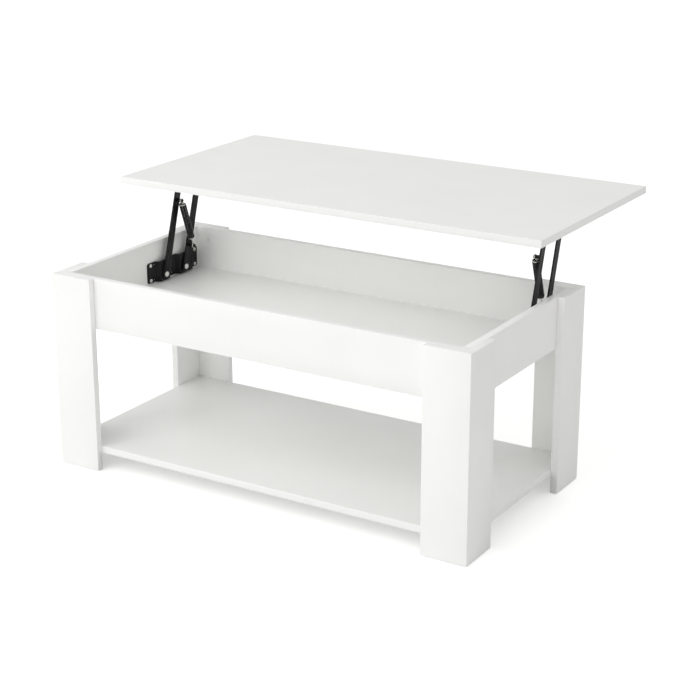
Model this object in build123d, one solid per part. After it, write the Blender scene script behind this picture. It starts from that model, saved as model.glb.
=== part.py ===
"""Lift-top coffee table.

A white board box stands on four L-shaped legs, with a shelf below it. The top swings up and towards the
sitter, level all the way, on a steel parallelogram lift at each end, helped by a coil spring.

Millimetres. +X runs along the table, +Y towards the sitter, +Z up. The origin is the centre of the leg
footprint on the floor. The top is modelled raised, with the rear arms on their stops.
"""

from build123d import *
import math
import os

# ------------------------------------------------------------------ driving dimensions: boards

body_length = 956.0  # over the leg side boards
body_depth = 484.0  # over the leg face boards
body_height = 413.0  # floor to the rim of the box
board = 15.0  # thickness of every carcass board
leg_face_width = 97.0
leg_side_width = 82.0
apron_height = 106.0  # height of the box's four walls
shelf_height = 53.0  # floor to the top of the shelf
top_end_overhang = 12.0  # the closed top past the leg side boards, over its edge band
top_front_overhang = 8.0  # the same past the leg face boards, front and back
top_thickness = 15.0
edge_band = 1.0
glide_height = 1.5
glide_diameter = 12.0
glide_spike_diameter = 3.0
glide_spike_length = 9.0
bumper_height = 1.5
bumper_diameter = 10.0
bumper_inset = 22.5  # from the leg's corner, along the face board

# ------------------------------------------------------------------ driving dimensions: lift mechanism

arm_length = 206.0  # pivot to pivot, the same on all four arms
arm_raised_angle = 73.5  # degrees above +Y when the top is up
arm_thickness = 3.0
arm_foot_radius = 10.5
arm_waist_width = 18.0
arm_waist_from_foot = 110.0
arm_head_radius = 9.25
arm_head_flare = 26.0
pivot_spacing = 70.5  # front pivot to rear pivot
pivot_above_floor = 15.5  # lower pivots above the compartment bottom
pivot_below_top = 12.0  # upper pivots below the underside of the top

plate_thickness = 2.0
plate_length = 178.0
plate_height = 45.0
plate_floor_gap = 2.5
plate_back_gap = 5.0  # plate end to back panel
plate_step = 8.5  # how far the pressed lands stand off the panel
plate_ramp = 6.0
plate_corner_radius = 5.0
front_pivot_inset = 50.0  # plate's front edge to the front pivot
land_half_width = 16.0
rear_land_extra = 12.0  # the rear land runs on to carry the stop stud
plate_screw_inset = 10.0
plate_screw_half_spacing = 16.5
spare_hole_inset = 23.5
spare_hole_diameter = 4.0

bracket_thickness = 2.0
bracket_bend_radius = 1.8
bracket_drop = 26.0  # height of the hanging flange
bracket_width = 30.0  # width of the flange against the top
bracket_overrun = 40.0  # past each pivot
bracket_screw_offset = 20.0
bracket_screw_end_inset = 14.0
bracket_screw_step = 40.0

rivet_diameter = 8.0
rivet_head_diameter = 12.5
rivet_head_height = 2.5
rivet_head_round = 2.0
rivet_tail_diameter = 12.0
rivet_tail_height = 2.0
washer_diameter = 16.0
washer_thickness = 0.8
stop_diameter = 8.0
stop_shank_diameter = 5.0
stop_tail_height = 1.5
stop_along_arm = 26.0

spring_stud_diameter = 5.0
spring_stud_shoulder_diameter = 7.5
spring_stud_head_diameter = 8.0
spring_stud_head_thickness = 1.6
upper_stud_along_arm = 162.0  # on the front arm, from its lower pivot
lower_stud_along_arm = 48.0  # on the rear arm, from its lower pivot
spring_offset = 26.0  # middle plane of the spring, from the end panel
spring_diameter = 15.5
spring_wire = 2.2
upper_hook_length = 8.5  # stud centre to the first full coil
lower_hook_length = 21.0

# ------------------------------------------------------------------ driving dimensions: fasteners

screw_diameter = 4.0
screw_length = 12.0  # below the plate
screw_head_diameter = 8.4
screw_head_height = 2.4
screw_head_round = 1.1
screw_slot_length = 4.6
screw_slot_width = 1.0
screw_slot_depth = 1.3

cam_diameter = 15.0
cam_depth = 12.5
cam_from_edge = 24.0
cam_bolt_diameter = 6.0
cam_bolt_bore = 8.0
cam_bolt_thread_depth = 10.0
cam_slot_length = 8.0
cam_slot_width = 1.6
cam_slot_depth = 3.0
dowel_diameter = 8.0
dowel_in_face = 10.0
dowel_in_edge = 20.0
leg_screw_diameter = 5.0
leg_screw_length = 25.0
leg_screw_head_diameter = 9.0
leg_screw_head_height = 4.0
leg_screw_inset = 48.0  # inwards from the end panel's outer face
cap_diameter = 13.0
cap_thickness = 0.8
panel_cam_below_rim = 21.0  # heights of the fittings in the box's corners and in the legs
panel_dowel_above_edge = 13.0
leg_cam_above_apron = 30.0
leg_cam_below_rim = 25.0
leg_screw_above_apron = 33.0
leg_screw_below_rim = 27.0
leg_dowels = 3  # evenly spaced between shelf and box
shelf_cam_inset = 32.0  # from the shelf's end
shelf_dowel_inset = 49.0  # from the shelf's front or back edge
bottom_fitting_spacing = 149.0  # along the front and back edges of the compartment bottom
bottom_dowel_offset = 106.0  # from the middle of its ends

# ------------------------------------------------------------------ clearances

fit_gap = 0.05  # a fastener in its own hole
running_gap = 0.1  # radial, an arm or a hook on its pivot
side_gap = 0.2  # between an arm and what it slides past
stop_gap = 0.3  # arm to stop stud, so that the solids stay apart
hook_gap = 0.3  # radial, spring eye on its stud
overrun = 1.0  # how far a cutter goes past the faces that it opens

# ------------------------------------------------------------------ derived places: boards

half_length = body_length / 2
half_depth = body_depth / 2
top_length = body_length + 2 * top_end_overhang
top_depth = body_depth + 2 * top_front_overhang
box_x = half_length - board  # outer face of the end panels
box_y = half_depth - board  # outer face of the front and back panels
inner_x = box_x - board
inner_y = box_y - board
apron_bottom = body_height - apron_height
floor_z = apron_bottom + board  # top of the compartment bottom
shelf_bottom = shelf_height - board

# ------------------------------------------------------------------ derived places: lift

plate_end_y = inner_y - plate_back_gap
plate_start_y = plate_end_y - plate_length
plate_bottom = floor_z + plate_floor_gap
plate_middle = plate_bottom + plate_height / 2
front_pivot_y = plate_start_y + front_pivot_inset
rear_pivot_y = front_pivot_y + pivot_spacing
pivot_z = floor_z + pivot_above_floor

raised = math.radians(arm_raised_angle)
arm_rise = arm_length * math.sin(raised)
arm_reach = arm_length * math.cos(raised)
top_bottom = pivot_z + arm_rise + pivot_below_top  # underside of the raised top
closed_bottom = body_height + bumper_height
closed_rise = closed_bottom - pivot_below_top - pivot_z
closed = math.pi - math.asin(closed_rise / arm_length)
swing = closed - raised
top_shift = arm_reach - arm_length * math.cos(closed)  # raised top's centre, ahead of the closed one
upper_front_y = front_pivot_y + arm_reach
upper_rear_y = rear_pivot_y + arm_reach
upper_pivot_z = pivot_z + arm_rise

land_face = plate_step + plate_thickness  # pivot face of plates and brackets, from the end panel
arm_face = land_face + washer_thickness + side_gap
arm_inner_face = arm_face + arm_thickness
rivet_head_face = arm_inner_face + side_gap


def on_arm(foot_y, along, angle=raised):
    """Y and Z of the point that lies along an arm from its lower pivot."""
    return foot_y + along * math.cos(angle), pivot_z + along * math.sin(angle)


stud_high = on_arm(front_pivot_y, upper_stud_along_arm)
stud_low = on_arm(rear_pivot_y, lower_stud_along_arm)
stud_span = math.dist(stud_high, stud_low)
spring_y = (stud_low[0] - stud_high[0]) / stud_span  # the spring's direction, down from the upper stud
spring_z = (stud_low[1] - stud_high[1]) / stud_span
coil_length = stud_span - upper_hook_length - lower_hook_length
closed_high = on_arm(front_pivot_y, upper_stud_along_arm, closed)
closed_low = on_arm(rear_pivot_y, lower_stud_along_arm, closed)
spring_stretch = math.dist(closed_high, closed_low) - stud_span
closed_direction = math.atan2(closed_low[1] - closed_high[1], closed_low[0] - closed_high[0])
spring_turn = closed_direction - math.atan2(spring_z, spring_y) - swing  # against the front arm

# ------------------------------------------------------------------ small helpers


def slab(low, high):
    """A plain board between two opposite corners."""
    size = [b - a for a, b in zip(low, high)]
    middle = [(a + b) / 2 for a, b in zip(low, high)]
    return Pos(*middle) * Box(*size)


def rod(start, direction, length, diameter):
    """A round bar from start along direction."""
    return extrude(Plane(origin=start, z_dir=direction) * Circle(diameter / 2), amount=length)


def shifted(point, direction, distance):
    """The point moved along a direction."""
    return tuple(p + d * distance for p, d in zip(point, direction))


def opposite(direction):
    """The direction turned round."""
    return tuple(-d for d in direction)


def cut(solid, tools):
    """The solid with every tool's volume taken out of it."""
    for tool in tools:
        solid = solid - tool
    return solid


def to_right(shape):
    """The same piece for the right-hand end."""
    return mirror(shape, about=Plane.YZ)


def lift_x(offset):
    """X of a plane that lies offset inside the left end panel."""
    return -inner_x + offset


# ------------------------------------------------------------------ knock-down fittings


class Fittings:
    """Collects the fittings, and the holes that each board needs for them."""

    def __init__(self):
        self.cams = []
        self.bolts = []
        self.dowels = []
        self.leg_screws = []
        self.caps = []
        self.holes = {}

    def drill(self, board_name, tool):
        """Adds one hole to a board's list."""
        self.holes.setdefault(board_name, []).append(tool)

    def cam_joint(self, face_board, edge_board, joint, into_edge, cam_side):
        """A bolt in face_board's face runs into edge_board's end, where a cam grips it.

        joint is on the meeting plane at mid thickness, into_edge points into edge_board, and cam_side
        points out of the face that the cam is let into.
        """
        into_face = opposite(into_edge)
        self.drill(face_board, rod(joint, into_face, cam_bolt_thread_depth, cam_bolt_diameter + 2 * fit_gap))
        self.drill(edge_board, rod(joint, into_edge, cam_from_edge, cam_bolt_bore))
        centre = shifted(joint, into_edge, cam_from_edge)
        mouth = shifted(centre, cam_side, board / 2)
        inwards = opposite(cam_side)
        self.drill(edge_board, rod(mouth, inwards, cam_depth + fit_gap, cam_diameter + 2 * fit_gap))
        bolt_start = shifted(joint, into_face, cam_bolt_thread_depth)
        bolt = rod(bolt_start, into_edge, cam_bolt_thread_depth + cam_from_edge, cam_bolt_diameter)
        cam = rod(mouth, inwards, cam_depth, cam_diameter)
        cam -= rod(joint, into_edge, cam_from_edge + cam_bolt_diameter / 2, cam_bolt_bore)
        slot_plane = Plane(origin=mouth, z_dir=inwards, x_dir=into_edge)
        cross = Rectangle(cam_slot_length, cam_slot_width) + Rectangle(cam_slot_width, cam_slot_length)
        cam -= extrude(slot_plane * cross, amount=cam_slot_depth)
        self.bolts.append(bolt)
        self.cams.append(cam)

    def dowel_joint(self, face_board, edge_board, joint, into_edge):
        """A dowel across the meeting plane of two boards."""
        into_face = opposite(into_edge)
        bore = dowel_diameter + 2 * fit_gap
        self.drill(face_board, rod(joint, into_face, dowel_in_face + fit_gap, bore))
        self.drill(edge_board, rod(joint, into_edge, dowel_in_edge + fit_gap, bore))
        start = shifted(joint, into_face, dowel_in_face)
        self.dowels.append(rod(start, into_edge, dowel_in_face + dowel_in_edge, dowel_diameter))

    def leg_screw(self, panel, leg_board, mouth, inwards):
        """A countersunk screw from inside the box, through its panel and into the leg, with a cap."""
        bore = leg_screw_diameter + 2 * fit_gap
        length = leg_screw_length - leg_screw_head_height
        neck = shifted(mouth, inwards, leg_screw_head_height)
        head = rod(mouth, inwards, leg_screw_head_height, leg_screw_head_diameter)
        head_hole = rod(mouth, inwards, leg_screw_head_height, leg_screw_head_diameter + 2 * fit_gap)
        self.drill(panel, head_hole + rod(neck, inwards, length, bore))
        self.drill(leg_board, rod(neck, inwards, length + fit_gap, bore))
        self.leg_screws.append(head + rod(neck, inwards, length, leg_screw_diameter))
        self.caps.append(rod(mouth, opposite(inwards), cap_thickness, cap_diameter))


ends = {"left": -1, "right": 1}
sides = {"front": -1, "back": 1}
fittings = Fittings()


def corner_fittings(end, side):
    """Fittings at one corner: box panel to end panel, leg board to leg board, leg to box, shelf to leg."""
    x = ends[end]
    y = sides[side]
    panel = f"{side}_panel"
    end_panel = f"{end}_end_panel"
    face_board = f"{side}_{end}_leg_face_board"
    side_board = f"{side}_{end}_leg_side_board"
    inwards_y = (0, -y, 0)

    end_panel_middle = x * (box_x - board / 2)
    for z in (plate_middle, body_height - panel_cam_below_rim):
        fittings.cam_joint(panel, end_panel, (end_panel_middle, y * inner_y, z), inwards_y, (x, 0, 0))
    dowel_z = apron_bottom + panel_dowel_above_edge
    fittings.dowel_joint(panel, end_panel, (end_panel_middle, y * inner_y, dowel_z), inwards_y)

    leg_middle = x * (half_length - board / 2)
    shelf_middle = shelf_height - board / 2
    for z in (shelf_middle, apron_bottom + leg_cam_above_apron, body_height - leg_cam_below_rim):
        fittings.cam_joint(face_board, side_board, (leg_middle, y * box_y, z), inwards_y, (-x, 0, 0))
    dowel_step = (apron_bottom - shelf_height) / (leg_dowels + 1)
    for i in range(leg_dowels):
        z = shelf_height + (i + 1) * dowel_step
        fittings.dowel_joint(face_board, side_board, (leg_middle, y * box_y, z), inwards_y)

    for z in (apron_bottom + leg_screw_above_apron, body_height - leg_screw_below_rim):
        mouth = (x * (box_x - leg_screw_inset), y * inner_y, z)
        fittings.leg_screw(panel, face_board, mouth, (0, y, 0))

    shelf_joint = (x * (box_x - shelf_cam_inset), y * box_y, shelf_middle)
    fittings.cam_joint(face_board, "lower_shelf", shelf_joint, inwards_y, (0, 0, -1))
    side_joint = (x * box_x, y * (box_y - shelf_dowel_inset), shelf_middle)
    fittings.dowel_joint(side_board, "lower_shelf", side_joint, (-x, 0, 0))


def bottom_fittings():
    """Fittings that hold the compartment bottom between the four walls."""
    z = apron_bottom + board / 2
    for side, y in sides.items():
        for place in (-1, 1):
            joint = (place * bottom_fitting_spacing, y * inner_y, z)
            fittings.cam_joint(f"{side}_panel", "compartment_bottom", joint, (0, -y, 0), (0, 0, -1))
        for place in (-2, 0, 2):
            joint = (place * bottom_fitting_spacing, y * inner_y, z)
            fittings.dowel_joint(f"{side}_panel", "compartment_bottom", joint, (0, -y, 0))
    for end, x in ends.items():
        joint = (x * inner_x, 0, z)
        fittings.cam_joint(f"{end}_end_panel", "compartment_bottom", joint, (-x, 0, 0), (0, 0, -1))
        for place in (-1, 1):
            joint = (x * inner_x, place * bottom_dowel_offset, z)
            fittings.dowel_joint(f"{end}_end_panel", "compartment_bottom", joint, (-x, 0, 0))


# ------------------------------------------------------------------ screws and rivets


def pan_screw(seat, inwards, length, diameter=screw_diameter):
    """A pan-head wood screw with a cross recess, its head on seat and its point along inwards."""
    outwards = opposite(inwards)
    head = rod(seat, outwards, screw_head_height, screw_head_diameter)
    head = fillet(head.edges().sort_by(Axis(seat, outwards))[-1], screw_head_round)
    tip = diameter / 2
    tip_plane = Plane(origin=shifted(seat, inwards, length - tip), z_dir=inwards)
    point = tip_plane * Cone(tip, tip / 4, tip, align=(Align.CENTER, Align.CENTER, Align.MIN))
    crown = Plane(origin=shifted(seat, outwards, screw_head_height), z_dir=inwards)
    cross = Rectangle(screw_slot_length, screw_slot_width) + Rectangle(screw_slot_width, screw_slot_length)
    screw = head + rod(seat, inwards, length - tip, diameter) + point
    return screw - extrude(crown * cross, amount=screw_slot_depth)


def rod_x(start, length, y, z, diameter):
    """A round bar along X in the left-hand mechanism, start being measured from the end panel."""
    return rod((lift_x(start), y, z), (1, 0, 0), length, diameter)


def hole_x(start, thickness, y, z, diameter):
    """The drill for a hole through a plate whose back face is at start."""
    return rod_x(start - overrun, thickness + 2 * overrun, y, z, diameter)


def pivot_rivet(y, z):
    """A shouldered rivet, its tail behind the land and its domed head inside the arm."""
    tail = rod_x(plate_step - rivet_tail_height, rivet_tail_height, y, z, rivet_tail_diameter)
    shank = rod_x(plate_step, rivet_head_face - plate_step, y, z, rivet_diameter)
    head = rod_x(rivet_head_face, rivet_head_height, y, z, rivet_head_diameter)
    head = fillet(head.edges().sort_by(Axis.X)[-1], rivet_head_round)
    return tail + shank + head


def pivot_washer(y, z):
    """The washer between a land and its arm."""
    ring = Circle(washer_diameter / 2) - Circle(rivet_diameter / 2 + fit_gap)
    return extrude(Plane(origin=(lift_x(land_face), y, z), z_dir=(1, 0, 0)) * ring, amount=washer_thickness)


# ------------------------------------------------------------------ lift mechanism, left-hand end


def strip_outline(path, thickness):
    """Outline of a bent strip: the path is its back face, and the front face is the mitred offset."""
    front = []
    for i, point in enumerate(path):
        before = path[max(i - 1, 0)]
        after = path[min(i + 1, len(path) - 1)]
        angle_in = math.atan2(point[1] - before[1], point[0] - before[0]) if i else None
        angle_out = math.atan2(after[1] - point[1], after[0] - point[0]) if i < len(path) - 1 else angle_in
        angle_in = angle_out if angle_in is None else angle_in
        normal = (angle_in + angle_out) / 2 + math.pi / 2
        reach = thickness / math.cos((angle_out - angle_in) / 2)
        front.append((point[0] + reach * math.cos(normal), point[1] + reach * math.sin(normal)))
    return [*path, *reversed(front)]


def base_plate_screw_points():
    """Y and Z of the four screws, two in each end tab."""
    rows = (plate_middle - plate_screw_half_spacing, plate_middle + plate_screw_half_spacing)
    columns = (plate_start_y + plate_screw_inset, plate_end_y - plate_screw_inset)
    return [(y, z) for y in columns for z in rows]


def stop_stud_point():
    """Y and Z of the stud that the rear arm leans on when the top is up."""
    share = stop_along_arm / arm_waist_from_foot
    half_width = arm_foot_radius + (arm_waist_width / 2 - arm_foot_radius) * share
    aside = half_width + stop_gap + stop_diameter / 2
    y, z = on_arm(rear_pivot_y, stop_along_arm)
    return y + aside * math.sin(raised), z - aside * math.cos(raised)


def base_plate():
    """A steel strip pressed into two raised lands for the pivots, with a screwed tab at each end."""
    front = (front_pivot_y - land_half_width, front_pivot_y + land_half_width)
    rear = (rear_pivot_y - land_half_width, rear_pivot_y + land_half_width + rear_land_extra)
    path = [(plate_start_y, 0)]
    for start, end in (front, rear):
        path.append((start - plate_ramp, 0))
        path.append((start, plate_step))
        path.append((end, plate_step))
        path.append((end + plate_ramp, 0))
    path.append((plate_end_y, 0))
    outline = [(lift_x(offset), y) for y, offset in strip_outline(path, plate_thickness)]
    strip = extrude(make_face(Polyline(*outline, close=True).edges()), amount=plate_height)
    strip = Pos(0, 0, plate_bottom) * strip
    middle_y = (plate_start_y + plate_end_y) / 2
    window = Plane(origin=(lift_x(-overrun), middle_y, plate_middle), x_dir=(0, 1, 0), z_dir=(1, 0, 0))
    rounded = RectangleRounded(plate_length, plate_height, plate_corner_radius)
    strip = strip & extrude(window * rounded, amount=land_face + 2 * overrun)
    holes = []
    for y, z in base_plate_screw_points():
        holes.append(hole_x(0, plate_thickness, y, z, screw_diameter + 2 * fit_gap))
    for y in (plate_start_y + spare_hole_inset, (front[1] + rear[0]) / 2):
        for z in (plate_middle - plate_screw_half_spacing, plate_middle + plate_screw_half_spacing):
            holes.append(hole_x(0, plate_thickness, y, z, spare_hole_diameter))
    for y in (front_pivot_y, rear_pivot_y):
        holes.append(hole_x(plate_step, plate_thickness, y, pivot_z, rivet_diameter + 2 * fit_gap))
    stop_bore = stop_shank_diameter + 2 * fit_gap
    holes.append(hole_x(plate_step, plate_thickness, *stop_stud_point(), stop_bore))
    return cut(strip, holes)


def arm(foot_y, stud_along):
    """A flat arm, wider at its ends, with a pivot hole at each end and a hole for a spring stud."""
    plane = Plane(
        origin=(lift_x(arm_face), foot_y, pivot_z),
        x_dir=(0, math.cos(raised), math.sin(raised)),
        z_dir=(1, 0, 0),
    )
    waist = arm_waist_width / 2
    waist_circle = Pos(arm_waist_from_foot, 0) * Circle(waist)
    foot = make_hull([*Circle(arm_foot_radius).edges(), *waist_circle.edges()])
    bar_end = arm_length - arm_head_flare
    bar_middle = (arm_waist_from_foot + bar_end) / 2
    bar = Pos(bar_middle, 0) * Rectangle(bar_end - arm_waist_from_foot, arm_waist_width)
    neck = Pos(bar_end, 0) * Circle(waist)
    head = Pos(arm_length, 0) * Circle(arm_head_radius)
    blank = foot + bar + make_hull([*neck.edges(), *head.edges()])
    pivot_hole = Circle(rivet_diameter / 2 + running_gap)
    blank = blank - pivot_hole - Pos(arm_length, 0) * pivot_hole
    blank = blank - Pos(stud_along, 0) * Circle(spring_stud_diameter / 2 + fit_gap)
    return extrude(plane * blank, amount=arm_thickness)


def spring_stud(point):
    """A shouldered stud through an arm: the spring's eye sits in the neck behind its head."""
    y, z = point
    neck_start = spring_offset - spring_wire / 2 - side_gap
    neck_end = spring_offset + spring_wire / 2 + side_gap
    shank = rod_x(arm_face, neck_end - arm_face, y, z, spring_stud_diameter)
    shoulder = rod_x(arm_inner_face, neck_start - arm_inner_face, y, z, spring_stud_shoulder_diameter)
    head = rod_x(neck_end, spring_stud_head_thickness, y, z, spring_stud_head_diameter)
    return shank + shoulder + head


def along_spring(distance):
    """A point on the spring's centre line, measured down from the upper stud."""
    return (lift_x(spring_offset), stud_high[0] + spring_y * distance, stud_high[1] + spring_z * distance)


def spring_eye(stud_distance, outwards, hook_length):
    """The round eye on its stud, with the straight wire that leads to the coil. outwards is 1 or -1."""
    inner_radius = spring_stud_diameter / 2 + hook_gap
    ring_radius = inner_radius + spring_wire / 2
    ring_plane = Plane(origin=along_spring(stud_distance), z_dir=(1, 0, 0))
    ring = ring_plane * Torus(ring_radius, spring_wire / 2)
    direction = (0, spring_y * outwards, spring_z * outwards)
    stem_start = along_spring(stud_distance + outwards * ring_radius)
    return ring + rod(stem_start, direction, hook_length - ring_radius, spring_wire)


def spring_coil():
    """The close-wound coil as a tube, closed at its upper end by the turn that carries the upper eye."""
    down = (0, spring_y, spring_z)
    start = along_spring(upper_hook_length)
    tube = rod(start, down, coil_length - spring_wire, spring_diameter)
    hollow_start = along_spring(upper_hook_length + spring_wire)
    hollow = rod(hollow_start, down, coil_length, spring_diameter - 2 * spring_wire)
    return tube - hollow + spring_eye(0, 1, upper_hook_length)


def spring_tail():
    """The coil's last turn with the lower eye, which travels away from the coil as the spring stretches."""
    start = along_spring(upper_hook_length + coil_length - spring_wire)
    turn = rod(start, (0, spring_y, spring_z), spring_wire, spring_diameter)
    return turn + spring_eye(stud_span, -1, lower_hook_length)


def stop_stud():
    """The stud riveted into the rear land."""
    y, z = stop_stud_point()
    tail = rod_x(plate_step - stop_tail_height, stop_tail_height, y, z, stop_diameter)
    shank = rod_x(plate_step, plate_thickness, y, z, stop_shank_diameter)
    button = rod_x(land_face, arm_inner_face - land_face, y, z, stop_diameter)
    return tail + shank + button


def bracket_screw_points():
    """X and Y of the screws that hold the left bracket to the top."""
    first = upper_front_y - bracket_overrun + bracket_screw_end_inset
    last = upper_rear_y + bracket_overrun - bracket_screw_end_inset
    x = lift_x(plate_step + bracket_screw_offset)
    return [(x, y) for y in (first, first + bracket_screw_step, last - bracket_screw_step, last)]


def top_bracket():
    """An angle under the top: one flange screwed up into it, the other hanging down with the pivots."""
    start = upper_front_y - bracket_overrun
    length = upper_rear_y - upper_front_y + 2 * bracket_overrun
    bottom = top_bottom - bracket_drop
    hanging = slab(
        (lift_x(plate_step), start, bottom),
        (lift_x(land_face), start + length, top_bottom),
    )
    flat = slab(
        (lift_x(plate_step), start, top_bottom - bracket_thickness),
        (lift_x(plate_step + bracket_width), start + length, top_bottom),
    )
    bracket = hanging + flat
    bend = bracket.edges().filter_by(Axis.Y).group_by(Axis.X)[0].sort_by(Axis.Z)[-1]
    bracket = fillet(bend, bracket_bend_radius)
    corners = bracket.edges().filter_by(Axis.X).group_by(Axis.Z)[0]
    bracket = fillet(corners, plate_corner_radius)
    holes = []
    for y in (upper_front_y, upper_rear_y):
        holes.append(hole_x(plate_step, plate_thickness, y, upper_pivot_z, rivet_diameter + 2 * fit_gap))
    for x, y in bracket_screw_points():
        start_point = (x, y, top_bottom - bracket_thickness - overrun)
        drill_length = bracket_thickness + 2 * overrun
        holes.append(rod(start_point, (0, 0, 1), drill_length, screw_diameter + 2 * fit_gap))
    return cut(bracket, holes)


def plate_screws():
    """The four screws of the left base plate."""
    seat = lift_x(plate_thickness)
    length = plate_thickness + screw_length
    return [pan_screw((seat, y, z), (-1, 0, 0), length) for y, z in base_plate_screw_points()]


def bracket_screws():
    """The four screws of the left top bracket."""
    seat = top_bottom - bracket_thickness
    length = bracket_thickness + screw_length
    return [pan_screw((x, y, seat), (0, 0, 1), length) for x, y in bracket_screw_points()]


# ------------------------------------------------------------------ boards


def both_ends(low, high, end):
    """A board given for the right-hand end, built at the named end."""
    solid = slab(low, high)
    return solid if end == "right" else mirror(solid, about=Plane.YZ)


def leg_boards(boards):
    """Eight boards: a face board and a side board for each leg."""
    for end in ends:
        for side, y in sides.items():
            face = ((half_length - leg_face_width), min(y * box_y, y * half_depth), glide_height)
            face_top = (half_length, max(y * box_y, y * half_depth), body_height)
            near = y * box_y
            far = y * (box_y - leg_side_width)
            edge = (box_x, min(near, far), glide_height)
            edge_top = (half_length, max(near, far), body_height)
            boards[f"{side}_{end}_leg_face_board"] = both_ends(face, face_top, end)
            boards[f"{side}_{end}_leg_side_board"] = both_ends(edge, edge_top, end)


def box_boards(boards):
    """Front and back panels, end panels, compartment bottom and shelf."""
    for side, y in sides.items():
        near = min(y * inner_y, y * box_y)
        far = max(y * inner_y, y * box_y)
        boards[f"{side}_panel"] = slab((-box_x, near, apron_bottom), (box_x, far, body_height))
    for end in ends:
        low = (inner_x, -inner_y, apron_bottom)
        boards[f"{end}_end_panel"] = both_ends(low, (box_x, inner_y, body_height), end)
    boards["compartment_bottom"] = slab((-inner_x, -inner_y, apron_bottom), (inner_x, inner_y, floor_z))
    boards["lower_shelf"] = slab((-box_x, -box_y, shelf_bottom), (box_x, box_y, shelf_height))


def top_boards():
    """The top's core, and the four bands glued round its edges."""
    core_x = top_length / 2 - edge_band
    core_y = top_depth / 2 - edge_band
    upper = top_bottom + top_thickness
    core = slab((-core_x, top_shift - core_y, top_bottom), (core_x, top_shift + core_y, upper))
    bands = []
    for y in (-1, 1):
        middle = (0, top_shift + y * (core_y + edge_band / 2), (top_bottom + upper) / 2)
        bands.append(Pos(*middle) * Box(top_length, edge_band, top_thickness))
    for x in (-1, 1):
        middle = (x * (core_x + edge_band / 2), top_shift, (top_bottom + upper) / 2)
        bands.append(Pos(*middle) * Box(edge_band, 2 * core_y, top_thickness))
    return core, bands


def glide(x, y):
    """A nail-on glide: a round pad with a spike that goes up into the board."""
    pad = rod((x, y, 0), (0, 0, 1), glide_height, glide_diameter)
    return pad + rod((x, y, glide_height), (0, 0, 1), glide_spike_length, glide_spike_diameter)


def glide_places():
    """Board name, X and Y of each glide: one under each end of every leg's L."""
    places = []
    for end, x in ends.items():
        for side, y in sides.items():
            face_x = x * (half_length - leg_face_width + glide_diameter)
            places.append((f"{side}_{end}_leg_face_board", face_x, y * (half_depth - board / 2)))
            side_y = y * (box_y - leg_side_width + glide_diameter)
            places.append((f"{side}_{end}_leg_side_board", x * (half_length - board / 2), side_y))
    return places


def bumpers():
    """Pads on the underside of the top that come down on the leg boards."""
    pads = []
    for x in (-1, 1):
        for y in (-1, 1):
            centre = (x * (half_length - bumper_inset), top_shift + y * (half_depth - board / 2), top_bottom)
            pads.append(rod(centre, (0, 0, -1), bumper_height, bumper_diameter))
    return pads


# ------------------------------------------------------------------ build

boards = {}
leg_boards(boards)
box_boards(boards)
for end in ends:
    for side in sides:
        corner_fittings(end, side)
bottom_fittings()

left_plate_screws = plate_screws()
for y, z in base_plate_screw_points():
    pilot = rod_x(-screw_length - fit_gap, screw_length + fit_gap, y, z, screw_diameter + 2 * fit_gap)
    fittings.drill("left_end_panel", pilot)
    fittings.drill("right_end_panel", to_right(pilot))
for name, x, y in glide_places():
    spike = rod((x, y, glide_height), (0, 0, 1), glide_spike_length, glide_spike_diameter + 2 * fit_gap)
    fittings.drill(name, spike)

table_top, edge_bands = top_boards()
for x, y in bracket_screw_points():
    for mirrored in (-1, 1):
        start = (mirrored * abs(x), y, top_bottom)
        table_top -= rod(start, (0, 0, 1), screw_length + fit_gap, screw_diameter + 2 * fit_gap)

nodes = {name: [cut(solid, fittings.holes.get(name, []))] for name, solid in boards.items()}
nodes["table_top"] = [table_top]
nodes["top_edge_bands"] = edge_bands
nodes["leg_glides"] = [glide(x, y) for name, x, y in glide_places()]
nodes["top_bumpers"] = bumpers()
nodes["cam_housings"] = fittings.cams
nodes["cam_bolts"] = fittings.bolts
nodes["dowels"] = fittings.dowels
nodes["leg_screws"] = fittings.leg_screws
nodes["screw_caps"] = fittings.caps

left_lift = {
    "base_plate": [base_plate()],
    "base_plate_screws": left_plate_screws,
    "base_rivets": [pivot_rivet(y, pivot_z) for y in (front_pivot_y, rear_pivot_y)],
    "base_washers": [pivot_washer(y, pivot_z) for y in (front_pivot_y, rear_pivot_y)],
    "stop_stud": [stop_stud()],
    "front_arm": [arm(front_pivot_y, upper_stud_along_arm)],
    "rear_arm": [arm(rear_pivot_y, lower_stud_along_arm)],
    "front_arm_spring_stud": [spring_stud(stud_high)],
    "rear_arm_spring_stud": [spring_stud(stud_low)],
    "lift_spring": [spring_coil()],
    "lift_spring_tail": [spring_tail()],
    "top_bracket": [top_bracket()],
    "top_bracket_screws": bracket_screws(),
    "top_rivets": [pivot_rivet(y, upper_pivot_z) for y in (upper_front_y, upper_rear_y)],
    "top_washers": [pivot_washer(y, upper_pivot_z) for y in (upper_front_y, upper_rear_y)],
}
for name, solids in left_lift.items():
    nodes[f"left_{name}"] = solids
    nodes[f"right_{name}"] = [to_right(solid) for solid in solids]

os.makedirs("parts", exist_ok=True)
for name, solids in nodes.items():
    shape = solids[0] if len(solids) == 1 else Compound(children=solids)
    export_step(shape, f"parts/{name}.step")

print("nodes", len(nodes))
print("lower pivots y", front_pivot_y, rear_pivot_y, "z", pivot_z)
print("upper pivots y", round(upper_front_y, 4), round(upper_rear_y, 4), "z", round(upper_pivot_z, 4))
print("swing degrees", round(math.degrees(swing), 4), "top shift", round(top_shift, 3))
print("raised underside", round(top_bottom, 3), "closed underside", closed_bottom)
print("spring studs", stud_high, stud_low, "direction", (spring_y, spring_z))
print("spring stretch", round(spring_stretch, 4), "turn degrees", round(math.degrees(spring_turn), 4))
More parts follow.
